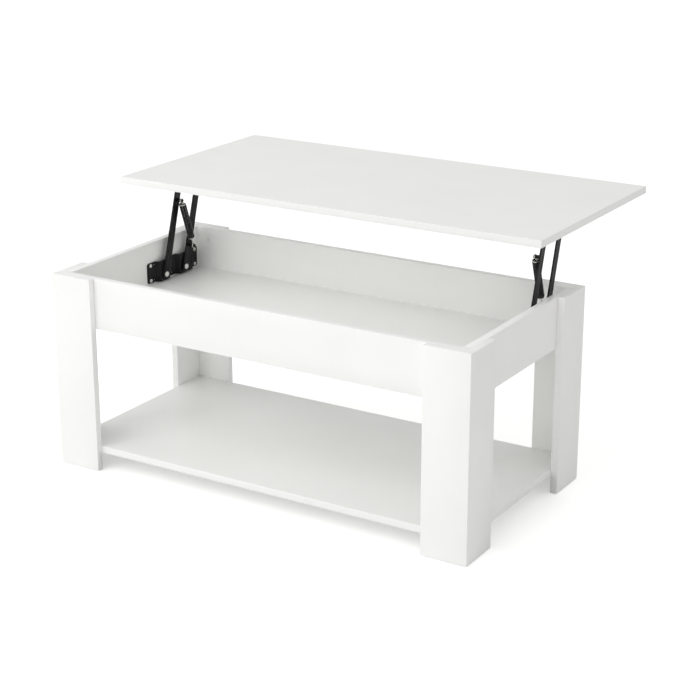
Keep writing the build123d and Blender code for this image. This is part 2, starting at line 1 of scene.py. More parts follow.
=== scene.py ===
"""Looks of a lift top coffee table.

The frame gives every board, arm and fastener its place. This add-on puts the finished pieces on it: boards
with eased edges in melamine foil, powder-coated steel lifts, wound springs, turned rivets, screws, fittings,
and the floor, light and camera to see them by. Metres; +X along the table, +Y towards the sitter, +Z up.
"""

import math

import bmesh
import bpy
from mathutils import Euler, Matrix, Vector
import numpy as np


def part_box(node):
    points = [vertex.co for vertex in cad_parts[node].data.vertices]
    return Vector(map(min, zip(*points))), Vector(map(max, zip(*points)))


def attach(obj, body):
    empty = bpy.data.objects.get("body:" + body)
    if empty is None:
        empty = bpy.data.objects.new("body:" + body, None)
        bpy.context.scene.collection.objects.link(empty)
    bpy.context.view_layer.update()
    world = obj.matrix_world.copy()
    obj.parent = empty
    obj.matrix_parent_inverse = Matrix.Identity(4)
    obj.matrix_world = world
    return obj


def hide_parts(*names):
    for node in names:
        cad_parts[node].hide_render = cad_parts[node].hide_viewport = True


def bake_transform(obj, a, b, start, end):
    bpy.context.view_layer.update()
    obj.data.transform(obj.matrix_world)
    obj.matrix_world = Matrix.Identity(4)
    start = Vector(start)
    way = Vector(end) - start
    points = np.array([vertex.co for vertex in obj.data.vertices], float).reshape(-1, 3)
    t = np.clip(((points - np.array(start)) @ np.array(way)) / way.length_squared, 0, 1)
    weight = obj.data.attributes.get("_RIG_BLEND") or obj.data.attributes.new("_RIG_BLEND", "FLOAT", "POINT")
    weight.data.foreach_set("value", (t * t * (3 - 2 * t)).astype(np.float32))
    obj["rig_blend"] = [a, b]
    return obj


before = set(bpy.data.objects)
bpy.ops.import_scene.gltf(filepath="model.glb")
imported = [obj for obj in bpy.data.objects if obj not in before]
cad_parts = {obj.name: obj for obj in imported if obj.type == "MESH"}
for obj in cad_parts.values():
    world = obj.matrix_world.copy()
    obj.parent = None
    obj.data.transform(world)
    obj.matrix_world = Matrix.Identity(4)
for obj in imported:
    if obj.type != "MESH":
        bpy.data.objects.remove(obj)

bl_info = {
    "name": "Lift Top Coffee Table",
    "version": (1, 0, 0),
    "blender": (4, 5, 0),
    "location": "3D View > Sidebar > Table",
    "description": "Builds the finished pieces of a lift top coffee table on its frame",
    "category": "Object",
}

MM = 0.001
MERGE_DISTANCE = 1e-6
FLAT_ANGLE = math.radians(1)
SMOOTH_ANGLE = math.radians(35)
FLAT_AREA = 50e-6  # a face larger than this is flat, not a strip of a round
SHALLOW_FOLD = math.radians(40)
STEEP_FOLD = math.radians(75)  # a sharper edge than this is a cut one
EYE_START = math.radians(-170)
EYE_SWEEP = math.radians(320)
EYE_STEPS = 30
HOOK_STEPS = 10
INWARDS_Z = Vector((0, 0, -1))
ENDS = {"left": Vector((1, 0, 0)), "right": Vector((-1, 0, 0))}  # from each end panel into the compartment
SIDES = {"front": Vector((0, 1, 0)), "back": Vector((0, -1, 0))}  # from each long panel into the compartment
PANELS = ["front_panel", "back_panel", "left_end_panel", "right_end_panel"]
BOARDS = PANELS + ["compartment_bottom", "lower_shelf"]
LEG_BOARDS = [f"{side}_{end}_leg_{face}_board" for side in SIDES for end in ENDS for face in ("face", "side")]


# ------------------------------------------------------------------ values and colours


def linear(hex_colour):
    """A linear RGBA colour from an sRGB hex value."""
    channels = [int(hex_colour[i : i + 2], 16) / 255 for i in (1, 3, 5)]
    return (*[c / 12.92 if c <= 0.04045 else ((c + 0.055) / 1.055) ** 2.4 for c in channels], 1.0)


def per_metre(millimetres):
    """The texture scale that repeats once in this many millimetres of Object coordinates."""
    return 1000.0 / millimetres


def middle(node):
    """The centre of a CAD node's box."""
    low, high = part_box(node)
    return (low + high) / 2


# ------------------------------------------------------------------ nodes and materials


def add_node(tree, kind, settings=None, inputs=None):
    """Adds a node with its settings; each input is a value, or another node's output to link from."""
    node = tree.nodes.new(kind)
    for name, value in (settings or {}).items():
        setattr(node, name, value)
    for name, value in (inputs or {}).items():
        if isinstance(value, bpy.types.NodeSocket):
            tree.links.new(value, node.inputs[name])
        else:
            node.inputs[name].default_value = value
    return node


def surface(name, **shader_values):
    """A material with one Principled shader, and the object's own coordinates to work from."""
    material = bpy.data.materials.new(name)
    material.use_nodes = True
    tree = material.node_tree
    tree.nodes.clear()
    shader = add_node(tree, "ShaderNodeBsdfPrincipled", inputs=shader_values)
    output = add_node(tree, "ShaderNodeOutputMaterial")
    tree.links.new(shader.outputs["BSDF"], output.inputs["Surface"])
    place = add_node(tree, "ShaderNodeTexCoord").outputs["Object"]
    return material, tree, shader, place


def blotches(tree, place, size_mm, detail=2.0, roughness=0.5):
    """Noise whose blotches are about size_mm across."""
    values = {"Vector": place, "Scale": per_metre(size_mm), "Detail": detail, "Roughness": roughness}
    return add_node(tree, "ShaderNodeTexNoise", inputs=values).outputs["Fac"]


def spread(tree, value, low, high, start=0.3, end=0.7):
    """Takes a 0 to 1 value to the range low to high."""
    values = {"Value": value, "From Min": start, "From Max": end, "To Min": low, "To Max": high}
    return add_node(tree, "ShaderNodeMapRange", inputs=values).outputs["Result"]


def between(tree, value, first, second):
    """A colour between two, by a 0 to 1 value."""
    mix = add_node(tree, "ShaderNodeMix", {"data_type": "RGBA"}, {0: value, 6: first, 7: second})
    return mix.outputs[2]


def relief(tree, shader, height, depth_mm, strength=1.0, under=None):
    """Bumps the shader's surface by a height value, depth_mm deep."""
    values = {"Height": height, "Distance": depth_mm * MM, "Strength": strength}
    if under is not None:
        values["Normal"] = under
    bump = add_node(tree, "ShaderNodeBump", inputs=values)
    tree.links.new(bump.outputs["Normal"], shader.inputs["Normal"])
    return bump.outputs["Normal"]


def melamine_foil(colour):
    """Melamine-faced particle board, pressed against a pearl-grained plate.

    Even satin white, with a fine grain of shallow pits and, very faintly, the chips' own unevenness below it.
    """
    material, tree, shader, place = surface("melamine_foil_pearl_pressed", IOR=1.55)
    shade = blotches(tree, place, 90, detail=4)
    darker = tuple(c * 0.975 for c in colour[:3]) + (1.0,)
    tree.links.new(between(tree, spread(tree, shade, 0, 1), colour, darker), shader.inputs["Base Color"])
    handled = blotches(tree, place, 35, detail=3)
    tree.links.new(spread(tree, handled, 0.34, 0.42), shader.inputs["Roughness"])
    chips = relief(tree, shader, blotches(tree, place, 14), 0.02, 0.5)
    pearl_values = {"Vector": place, "Scale": per_metre(1.6)}  # really 0.4 mm: coarse enough to show
    pearl = add_node(tree, "ShaderNodeTexVoronoi", {"feature": "SMOOTH_F1"}, pearl_values)
    relief(tree, shader, pearl.outputs["Distance"], 0.02, 0.35, under=chips)
    return material


def edge_band_plastic(colour):
    """Extruded edge band, 1 mm, glued on and scraped flush.

    A little smoother and brighter than the foil, with faint lines along its length from the scraper.
    """
    material, tree, shader, place = surface("edge_band_extruded_scraped", IOR=1.5)
    along = add_node(tree, "ShaderNodeMapping", inputs={"Vector": place, "Scale": (0.02, 0.02, 1.0)})
    lines = blotches(tree, along.outputs["Vector"], 1.2, detail=3)
    darker = tuple(c * 0.97 for c in colour[:3]) + (1.0,)
    tree.links.new(between(tree, spread(tree, lines, 0, 1), colour, darker), shader.inputs["Base Color"])
    tree.links.new(spread(tree, blotches(tree, place, 20), 0.28, 0.36), shader.inputs["Roughness"])
    relief(tree, shader, lines, 0.015, 0.4)
    return material


def powder_coat(colour):
    """Semi-gloss black powder coat on pressed steel.

    Near-black with an orange-peel skin, a little duller where hands and cartons have rubbed it.
    """
    values = {"Specular IOR Level": 0.22}
    material, tree, shader, place = surface("powder_coated_steel_black", IOR=1.5, **values)
    rubbed = blotches(tree, place, 18, detail=5, roughness=0.6)
    worn = tuple(c * 1.9 for c in colour[:3]) + (1.0,)
    most_rubbed = spread(tree, rubbed, 0, 1, 0.5, 0.75)
    tree.links.new(between(tree, most_rubbed, colour, worn), shader.inputs["Base Color"])
    tree.links.new(spread(tree, rubbed, 0.32, 0.48), shader.inputs["Roughness"])
    peel = blotches(tree, place, 1.8, detail=1)  # really about 0.8 mm: coarse enough to show
    relief(tree, shader, peel, 0.06, 0.6)
    return material


def nickel_plate(colour):
    """Bright nickel on turned and cold-headed steel: clean mirror-like metal, faintly scratched."""
    material, tree, shader, place = surface("nickel_plated_steel_headed", Metallic=1.0)
    haze = blotches(tree, place, 3, detail=4)
    duller = tuple(c * 0.86 for c in colour[:3]) + (1.0,)
    tree.links.new(between(tree, spread(tree, haze, 0, 1), colour, duller), shader.inputs["Base Color"])
    tree.links.new(spread(tree, haze, 0.2, 0.34), shader.inputs["Roughness"])
    relief(tree, shader, blotches(tree, place, 0.5, detail=2), 0.006, 0.4)
    return material


def oxide_wire(colour):
    """Hard-drawn spring wire, blacked and oiled: oxide under oil, with a wet glint along each turn."""
    values = {"Specular IOR Level": 0.35}
    material, tree, shader, place = surface("spring_wire_black_oiled", IOR=1.6, **values)
    patches = blotches(tree, place, 6, detail=4)
    brighter = tuple(min(c * 1.8, 1.0) for c in colour[:3]) + (1.0,)
    tree.links.new(between(tree, spread(tree, patches, 0, 1), colour, brighter), shader.inputs["Base Color"])
    tree.links.new(spread(tree, patches, 0.12, 0.2), shader.inputs["Roughness"])
    relief(tree, shader, blotches(tree, place, 0.6, detail=2), 0.01, 0.4)
    return material


def die_cast_zinc(colour):
    """Die-cast zinc, tumbled: soft grey metal with a mottled, slightly frosted skin."""
    material, tree, shader, place = surface("die_cast_zinc_tumbled", Metallic=1.0)
    frost = blotches(tree, place, 2.5, detail=4)
    darker = tuple(c * 0.78 for c in colour[:3]) + (1.0,)
    tree.links.new(between(tree, spread(tree, frost, 0, 1), colour, darker), shader.inputs["Base Color"])
    tree.links.new(spread(tree, frost, 0.4, 0.58), shader.inputs["Roughness"])
    relief(tree, shader, frost, 0.03, 0.5)
    return material


def beech_dowel_rod(colour):
    """Beech rod, pressed with flutes: warm tan with short dark flecks along the grain."""
    material, tree, shader, place = surface("beech_dowel_fluted", IOR=1.45)
    grain = add_node(tree, "ShaderNodeMapping", inputs={"Vector": place, "Scale": (1.0, 1.0, 0.25)})
    flecks = blotches(tree, grain.outputs["Vector"], 1.2, detail=4)
    darker = tuple(c * 0.62 for c in colour[:3]) + (1.0,)
    tree.links.new(between(tree, spread(tree, flecks, 0, 1), colour, darker), shader.inputs["Base Color"])
    tree.links.new(spread(tree, flecks, 0.55, 0.7), shader.inputs["Roughness"])
    relief(tree, shader, flecks, 0.05, 0.5)
    return material


def moulded_polyethylene(colour):
    """Moulded polyethylene: waxy white, light soaking a little way in, with a fine spark-eroded texture."""
    depth = (1.0, 1.0, 0.9)
    values = {"Subsurface Weight": 0.15, "Subsurface Radius": depth, "Subsurface Scale": 1.5 * MM}
    material, tree, shader, place = surface("polyethylene_moulded_white", IOR=1.51, **values)
    cloud = blotches(tree, place, 8, detail=3)
    darker = tuple(c * 0.95 for c in colour[:3]) + (1.0,)
    tree.links.new(between(tree, spread(tree, cloud, 0, 1), colour, darker), shader.inputs["Base Color"])
    tree.links.new(spread(tree, cloud, 0.42, 0.52), shader.inputs["Roughness"])
    relief(tree, shader, blotches(tree, place, 0.7, detail=1), 0.02, 0.5)
    return material


def urethane_pad(colour):
    """Cast urethane bumper: clear and slightly milky, with a soft skin."""
    values = {"Transmission Weight": 0.45, "Subsurface Weight": 0.2, "Subsurface Scale": 1.0 * MM}
    material, tree, shader, place = surface("urethane_cast_milky", IOR=1.49, **values)
    milk = blotches(tree, place, 4, detail=3)
    darker = tuple(c * 0.93 for c in colour[:3]) + (1.0,)
    tree.links.new(between(tree, spread(tree, milk, 0, 1), colour, darker), shader.inputs["Base Color"])
    tree.links.new(spread(tree, milk, 0.2, 0.32), shader.inputs["Roughness"])
    relief(tree, shader, milk, 0.02, 0.3)
    return material


FINISHES = {
    "white_board": (melamine_foil, "board_colour"),
    "white_edge_band": (edge_band_plastic, "band_colour"),
    "black_steel": (powder_coat, "coat_colour"),
    "bright_steel": (nickel_plate, "nickel_colour"),
    "spring_steel": (oxide_wire, "wire_colour"),
    "zinc_fittings": (die_cast_zinc, "zinc_colour"),
    "beech_dowel": (beech_dowel_rod, "beech_colour"),
    "white_plastic": (moulded_polyethylene, "plastic_colour"),
    "bumper_rubber": (urethane_pad, "urethane_colour"),
}


def finish_for(slot):
    """The material of a slot, made the first time that it is asked for."""
    make, colour_name = FINISHES[slot]
    key = f"finish_{slot}"
    made = bpy.context.scene.get(key)
    if made is None:
        material = make(tuple(getattr(bpy.context.scene.table_colours, colour_name)))
        bpy.context.scene[key] = material
        made = material
    return made


# ------------------------------------------------------------------ mesh work


def new_object(name, mesh):
    """An object for the mesh, at the origin and in the scene."""
    obj = bpy.data.objects.new(name, mesh)
    bpy.context.collection.objects.link(obj)
    return obj


def plain_mesh(obj, name):
    """The evaluated object as a plain mesh object; the one it came from is removed."""
    graph = bpy.context.evaluated_depsgraph_get()
    mesh = bpy.data.meshes.new_from_object(obj.evaluated_get(graph), depsgraph=graph)
    bpy.data.objects.remove(obj)
    mesh.name = name
    return new_object(name, mesh)


def merged_copy(node):
    """A CAD node's mesh with its loose triangles joined and its flat faces whole again."""
    mesh = bmesh.new()
    mesh.from_mesh(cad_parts[node].data)
    bmesh.ops.remove_doubles(mesh, verts=mesh.verts, dist=MERGE_DISTANCE)
    bmesh.ops.dissolve_limit(mesh, angle_limit=FLAT_ANGLE, verts=mesh.verts, edges=mesh.edges)
    return mesh


def loose_parts(node):
    """Lowest and highest corner of each separate solid in a CAD node."""
    mesh = merged_copy(node)
    unseen = set(mesh.verts)
    boxes = []
    while unseen:
        waiting = [unseen.pop()]
        points = []
        while waiting:
            vertex = waiting.pop()
            points.append(vertex.co.copy())
            for edge in vertex.link_edges:
                other = edge.other_vert(vertex)
                if other in unseen:
                    unseen.remove(other)
                    waiting.append(other)
        low = Vector([min(p[i] for p in points) for i in range(3)])
        high = Vector([max(p[i] for p in points) for i in range(3)])
        boxes.append((low, high))
    mesh.free()
    return sorted(boxes, key=lambda box: tuple(box[0]))


def outer_ends(node, outwards):
    """For each solid in a node, the middle of its end that faces outwards."""
    places = []
    for low, high in loose_parts(node):
        centre = (low + high) / 2
        half = sum(abs((high - low)[i] * outwards[i]) for i in range(3)) / 2
        places.append(centre + outwards * half)
    return places


def on_box_edge(edge, low, high):
    """True where a straight edge runs along one of the twelve edges of the box."""
    held = 0
    for axis in range(3):
        for limit in (low[axis], high[axis]):
            if all(abs(v.co[axis] - limit) < 10 * MERGE_DISTANCE for v in edge.verts):
                held += 1
    return held == 2


def smooth_by_angle(data):
    """Shades every face smooth, with its corners kept sharp."""
    for polygon in data.polygons:
        polygon.use_smooth = True
    data.set_sharp_from_angle(angle=SMOOTH_ANGLE)


def shade(data):
    """Shades flat faces flat and the rounds between them smooth, with no normals left over from the frame."""
    held = data.attributes.get("custom_normal")
    if held is not None:
        data.attributes.remove(held)
    for polygon in data.polygons:
        squared = max(abs(value) for value in polygon.normal) > 0.9999
        polygon.use_smooth = not squared and polygon.area < FLAT_AREA
    data.set_sharp_from_angle(angle=SMOOTH_ANGLE)


def rounded_by_weight(name, mesh, widest, segments):
    """A plain mesh object, its edges rounded by their weights: weight 1 is the widest round."""
    data = bpy.data.meshes.new(name)
    mesh.to_mesh(data)
    mesh.free()
    obj = new_object(name, data)
    bevel = obj.modifiers.new("round", "BEVEL")
    bevel.limit_method = "WEIGHT"
    bevel.width = widest
    bevel.segments = segments
    result = plain_mesh(obj, name)
    shade(result.data)
    return result


def weight_layer(mesh):
    """The edge layer that holds how strongly each edge is rounded."""
    layers = mesh.edges.layers.float
    return layers.get("bevel_weight_edge") or layers.new("bevel_weight_edge")


def place_piece(obj, body, nodes):
    """Rides a finished piece on its body, in place of its CAD nodes."""
    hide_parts(*nodes)
    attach(obj, body)
    return obj


def eased_board(node, body, edge_round):
    """A board with its outer edges eased, foil on its two faces and edge band round its narrow sides."""
    low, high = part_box(node)
    size = high - low
    thin = min(range(3), key=lambda axis: size[axis])
    mesh = merged_copy(node)
    layer = weight_layer(mesh)
    for edge in mesh.edges:
        if on_box_edge(edge, low, high):
            edge[layer] = 1.0
    obj = rounded_by_weight(node + "_finished", mesh, edge_round, 3)
    obj.data.materials.clear()
    obj.data.materials.append(finish_for("white_board"))
    obj.data.materials.append(finish_for("white_edge_band"))
    for polygon in obj.data.polygons:
        polygon.material_index = 0 if abs(polygon.normal[thin]) > 0.9 else 1
    return place_piece(obj, body, [node])


def pressed_steel(node, body, edge_round, bend_round):
    """A pressed steel piece: its cut edges lose their corner, and its folds get their bend radius."""
    mesh = merged_copy(node)
    layer = weight_layer(mesh)
    for edge in mesh.edges:
        if len(edge.link_faces) != 2:
            continue
        angle = edge.calc_face_angle()
        fold = SHALLOW_FOLD < angle < STEEP_FOLD
        if fold and abs((edge.verts[0].co - edge.verts[1].co).normalized().z) > 0.99:
            edge[layer] = 1.0
        elif angle > STEEP_FOLD:
            edge[layer] = edge_round / bend_round
    obj = rounded_by_weight(node + "_finished", mesh, bend_round, 3)
    obj.data.materials.clear()
    obj.data.materials.append(finish_for("black_steel"))
    return place_piece(obj, body, [node])


# ------------------------------------------------------------------ turned pieces


def arc(centre, radius, start, end, steps=5):
    """Points of (radius, height) along an arc, its angles in degrees from the outward direction."""
    points = []
    for i in range(steps + 1):
        angle = math.radians(start + (end - start) * i / steps)
        points.append((centre[0] + radius * math.cos(angle), centre[1] + radius * math.sin(angle)))
    return points


def turned(name, profile, segments=24):
    """A closed lathe shape about Z from (radius, height) points in millimetres, given from top to bottom."""
    mesh = bmesh.new()
    rings = []
    for radius, height in profile:
        if radius <= 0:
            rings.append([mesh.verts.new((0, 0, height * MM))])
            continue
        ring = []
        for i in range(segments):
            angle = 2 * math.pi * i / segments
            x = radius * MM * math.cos(angle)
            y = radius * MM * math.sin(angle)
            ring.append(mesh.verts.new((x, y, height * MM)))
        rings.append(ring)
    for upper, lower in zip(rings, rings[1:]):
        for i in range(segments):
            j = (i + 1) % segments
            if len(upper) == 1:
                mesh.faces.new((upper[0], lower[i], lower[j]))
            elif len(lower) == 1:
                mesh.faces.new((upper[i], lower[0], upper[j]))
            else:
                mesh.faces.new((upper[i], lower[i], lower[j], upper[j]))
    if len(rings[0]) > 1:
        for i in range(segments):
            j = (i + 1) % segments
            mesh.faces.new((rings[-1][i], rings[0][i], rings[0][j], rings[-1][j]))
    bmesh.ops.recalc_face_normals(mesh, faces=mesh.faces)
    data = bpy.data.meshes.new(name)
    mesh.to_mesh(data)
    mesh.free()
    smooth_by_angle(data)
    return new_object(name, data)


def cross_cutter(reach, width, depth, taper):
    """A cross-shaped punch, narrower at its point, standing from just above the crown down to its depth."""
    mesh = bmesh.new()
    for long_x in (True, False):
        corners = []
        for height, shrink in ((0.5, 1.0), (-depth, taper)):
            half_long = reach / 2 * shrink * MM
            half_short = width / 2 * shrink * MM
            half_x, half_y = (half_long, half_short) if long_x else (half_short, half_long)
            for x, y in ((-1, -1), (1, -1), (1, 1), (-1, 1)):
                corners.append(mesh.verts.new((x * half_x, y * half_y, height * MM)))
        mesh.faces.new(corners[:4])
        mesh.faces.new(reversed(corners[4:]))
        for i in range(4):
            j = (i + 1) % 4
            mesh.faces.new((corners[i], corners[i + 4], corners[j + 4], corners[j]))
    bmesh.ops.recalc_face_normals(mesh, faces=mesh.faces)
    data = bpy.data.meshes.new("cross_cutter")
    mesh.to_mesh(data)
    mesh.free()
    return new_object("cross_cutter", data)


def with_cross(obj, reach, width, depth, taper=0.7):
    """The turned piece with a cross recess punched into its crown."""
    name = obj.name
    cutter = cross_cutter(reach, width, depth, taper)
    punch = obj.modifiers.new("recess", "BOOLEAN")
    punch.operation = "DIFFERENCE"
    punch.solver = "EXACT"
    punch.use_self = True
    punch.object = cutter
    result = plain_mesh(obj, name)
    bpy.data.objects.remove(cutter)
    smooth_by_angle(result.data)
    return result


def threads(top, bottom, outer, root, pitch):
    """Ring ridges down a shank, from (radius, height) top to bottom, which read as its thread."""
    points = []
    height = top
    while height - pitch > bottom:
        points.append((root, height))
        points.append((outer, height - pitch / 2))
        height -= pitch
    points.append((root, height))
    return points


# ------------------------------------------------------------------ Geometry Nodes


def input_socket(tree, name, kind, default=None):
    """A named input on a Geometry Nodes tree."""
    socket = tree.interface.new_socket(name=name, in_out="INPUT", socket_type=kind)
    if default is not None:
        socket.default_value = default
    return socket


def pieces_tree():
    """Puts a copy of one piece at every point, its crown along the point's axis and turned by chance."""
    tree = bpy.data.node_groups.new("pieces_on_points", "GeometryNodeTree")
    input_socket(tree, "Points", "NodeSocketGeometry")
    input_socket(tree, "Piece", "NodeSocketObject")
    input_socket(tree, "Largest Turn", "NodeSocketFloat", 0.0)
    input_socket(tree, "Seed", "NodeSocketInt", 1)
    input_socket(tree, "Finish", "NodeSocketMaterial")
    tree.interface.new_socket(name="Pieces", in_out="OUTPUT", socket_type="NodeSocketGeometry")
    given = add_node(tree, "NodeGroupInput").outputs
    own_place = {"transform_space": "ORIGINAL"}
    piece = add_node(tree, "GeometryNodeObjectInfo", own_place, {"Object": given["Piece"]})
    named = add_node(tree, "GeometryNodeInputNamedAttribute", {"data_type": "FLOAT_VECTOR"}, {"Name": "axis"})
    axis = named.outputs["Attribute"]
    aligned = add_node(tree, "FunctionNodeAlignRotationToVector", {"axis": "Z"}, {"Vector": axis})
    turn = given["Largest Turn"]
    opposite = add_node(tree, "ShaderNodeMath", {"operation": "MULTIPLY"}, {0: turn, 1: -1.0})
    limits = {2: opposite.outputs[0], 3: turn, "Seed": given["Seed"]}
    chance = add_node(tree, "FunctionNodeRandomValue", {"data_type": "FLOAT"}, limits)
    spin_values = {"Axis": (0, 0, 1), "Angle": chance.outputs[1]}
    spin = add_node(tree, "FunctionNodeAxisAngleToRotation", inputs=spin_values)
    turn_values = {"Rotation": aligned.outputs[0], "Rotate By": spin.outputs[0]}
    turned_by = add_node(tree, "FunctionNodeRotateRotation", {"rotation_space": "LOCAL"}, turn_values)
    copies_values = {
        "Points": given["Points"],
        "Instance": piece.outputs["Geometry"],
        "Rotation": turned_by.outputs[0],
    }
    copies = add_node(tree, "GeometryNodeInstanceOnPoints", inputs=copies_values)
    real = add_node(tree, "GeometryNodeRealizeInstances", inputs={"Geometry": copies.outputs[0]})
    finish_values = {"Geometry": real.outputs[0], "Material": given["Finish"]}
    finished = add_node(tree, "GeometryNodeSetMaterial", inputs=finish_values)
    add_node(tree, "NodeGroupOutput", inputs={"Pieces": finished.outputs[0]})
    return tree


def wire_tree():
    """Draws round wire along a path of edges."""
    tree = bpy.data.node_groups.new("wire_along_path", "GeometryNodeTree")
    input_socket(tree, "Path", "NodeSocketGeometry")
    input_socket(tree, "Wire Diameter", "NodeSocketFloat", 2.2 * MM)
    input_socket(tree, "Sides", "NodeSocketInt", 10)
    input_socket(tree, "Finish", "NodeSocketMaterial")
    tree.interface.new_socket(name="Wire", in_out="OUTPUT", socket_type="NodeSocketGeometry")
    given = add_node(tree, "NodeGroupInput").outputs
    path = add_node(tree, "GeometryNodeMeshToCurve", inputs={"Mesh": given["Path"]})
    radius = add_node(tree, "ShaderNodeMath", {"operation": "MULTIPLY"}, {0: given["Wire Diameter"], 1: 0.5})
    section_values = {"Resolution": given["Sides"], "Radius": radius.outputs[0]}
    section = add_node(tree, "GeometryNodeCurvePrimitiveCircle", inputs=section_values)
    wire_values = {"Curve": path.outputs[0], "Profile Curve": section.outputs["Curve"], "Fill Caps": True}
    wire = add_node(tree, "GeometryNodeCurveToMesh", inputs=wire_values)
    smooth_values = {"Geometry": wire.outputs[0], "Shade Smooth": True}
    smooth = add_node(tree, "GeometryNodeSetShadeSmooth", inputs=smooth_values)
    real = add_node(tree, "GeometryNodeRealizeInstances", inputs={"Geometry": smooth.outputs[0]})
    finish_values = {"Geometry": real.outputs[0], "Material": given["Finish"]}
    finished = add_node(tree, "GeometryNodeSetMaterial", inputs=finish_values)
    add_node(tree, "NodeGroupOutput", inputs={"Wire": finished.outputs[0]})
    return tree


def tree_named(name, make):
    """The named Geometry Nodes tree, made once."""
    return bpy.data.node_groups.get(name) or make()


def through_tree(obj, tree, values, name):
    """Runs an object's mesh through a tree, its inputs given by name, and returns a plain mesh object."""
    modifier = obj.modifiers.new(tree.name, "NODES")
    modifier.node_group = tree
    for item in tree.interface.items_tree:
        if item.item_type == "SOCKET" and item.in_out == "INPUT" and item.name in values:
            modifier[item.identifier] = values[item.name]
    return plain_mesh(obj, name)


def instanced(name, places, piece, slot, largest_turn=0.0, seed=1):
    """One mesh with the piece copied to each (point, axis) place."""
    mesh = bpy.data.meshes.new(name)
    mesh.from_pydata([tuple(point) for point, axis in places], [], [])
    axes = mesh.attributes.new("axis", "FLOAT_VECTOR", "POINT")
    axes.data.foreach_set("vector", [value for point, axis in places for value in axis])
    values = {"Piece": piece, "Largest Turn": largest_turn, "Seed": seed, "Finish": finish_for(slot)}
    points = new_object(name + "_places", mesh)
    return through_tree(points, tree_named("pieces_on_points", pieces_tree), values, name)


def instanced_for(name, body, slot, sources, piece, largest_turn=0.0, seed=1):
    """Copies of a piece in place of CAD nodes: sources is (node, outward direction) pairs."""
    places = [(point, outwards) for node, outwards in sources for point in outer_ends(node, outwards)]
    obj = instanced(name, places, piece, slot, largest_turn, seed)
    bpy.data.objects.remove(piece)
    return place_piece(obj, body, [node for node, outwards in sources])


# ------------------------------------------------------------------ settings


def colour_property(name, description, hex_colour):
    """A colour that the user can change."""
    return bpy.props.FloatVectorProperty(
        name=name, description=description, default=linear(hex_colour), subtype="COLOR", size=4, min=0, max=1
    )


def number_property(name, description, value, **kind):
    """A number that the user can change."""
    return bpy.props.FloatProperty(name=name, description=description, default=value, **kind)


def place_property(name, description, place):
    """A place in metres that the user can change."""
    return bpy.props.FloatVectorProperty(name=name, description=description, default=place, unit="LENGTH")


def length_property(name, description, millimetres):
    """A length that the user can change, given here in millimetres."""
    return bpy.props.FloatProperty(
        name=name, description=description, default=millimetres * MM, unit="LENGTH", min=0, precision=5
    )


class TableColours(bpy.types.PropertyGroup):
    """Colours of every finish on the table."""

    board_colour: colour_property("Foil", "Melamine foil on the boards", "#FBFBF9")
    band_colour: colour_property("Edge band", "Band on the boards' narrow sides", "#FBFBFA")
    coat_colour: colour_property("Powder coat", "Coat on plates, brackets and arms", "#131315")
    # The nickel also makes the bright spring ends, which are partly plating and partly a painted highlight.
    nickel_colour: colour_property("Nickel", "Plating on rivets, screws and studs", "#F1EFEB")
    wire_colour: colour_property("Spring wire", "Oiled wire of the springs", "#101012")
    zinc_colour: colour_property("Zinc", "Cams, bolts and leg screws", "#B4B6B9")
    beech_colour: colour_property("Beech", "Dowels", "#CDA97C")
    plastic_colour: colour_property("Polyethylene", "Glides, caps and washers", "#F8F8F6")
    urethane_colour: colour_property("Urethane", "Bumpers under the top", "#E4E4E0")


class BoardSettings(bpy.types.PropertyGroup):
    """Sizes that finish the boards."""

    edge_round: length_property("Edge round", "Round on the boards' outer edges", 0.5)
    band_round: length_property("Band round", "Round on the top's edge bands", 0.7)


class LiftSettings(bpy.types.PropertyGroup):
    """Sizes that finish the steel lifts."""

    cut_edge: length_property("Cut edge", "Round on cut steel edges", 0.35)
    bend_round: length_property("Bend round", "Radius at the folds of the plates", 2.2)
    wire_diameter: length_property("Wire diameter", "Spring wire", 2.2)
    coil_diameter: length_property("Coil diameter", "Outside of the spring's coil", 15.5)
    eye_gap: length_property("Eye gap", "Between a spring eye and its stud, all round", 0.3)
    upper_hook: length_property("Upper hook", "Upper stud's centre to the first full turn", 8.5)
    lower_hook: length_property("Lower hook", "Lower stud's centre to the last full turn", 21.0)
    stud_neck: length_property("Stud neck", "Diameter of the neck that a spring eye sits on", 5.0)
    # Turns at each end left bright nickel: partly plating, partly a painted highlight on the end turns.
    plated_and_highlit_turns: number_property("Plated turns", "Turns beside each hook that are left bright", 0.4, min=0)
    pitch_gap: length_property("Pitch gap", "Between neighbouring turns at rest", 0.55)
    turn_points: bpy.props.IntProperty(
        name="Points per turn", description="How finely each turn is drawn", default=28, min=8
    )


class FastenerSettings(bpy.types.PropertyGroup):
    """Choices for screws and fittings."""

    seed: bpy.props.IntProperty(
        name="Seed", description="Sets how far each screw head happens to be turned", default=4
    )
    largest_turn: number_property(
        "Largest turn", "How far a screw's recess may be turned either way", math.radians(45), subtype="ANGLE"
    )


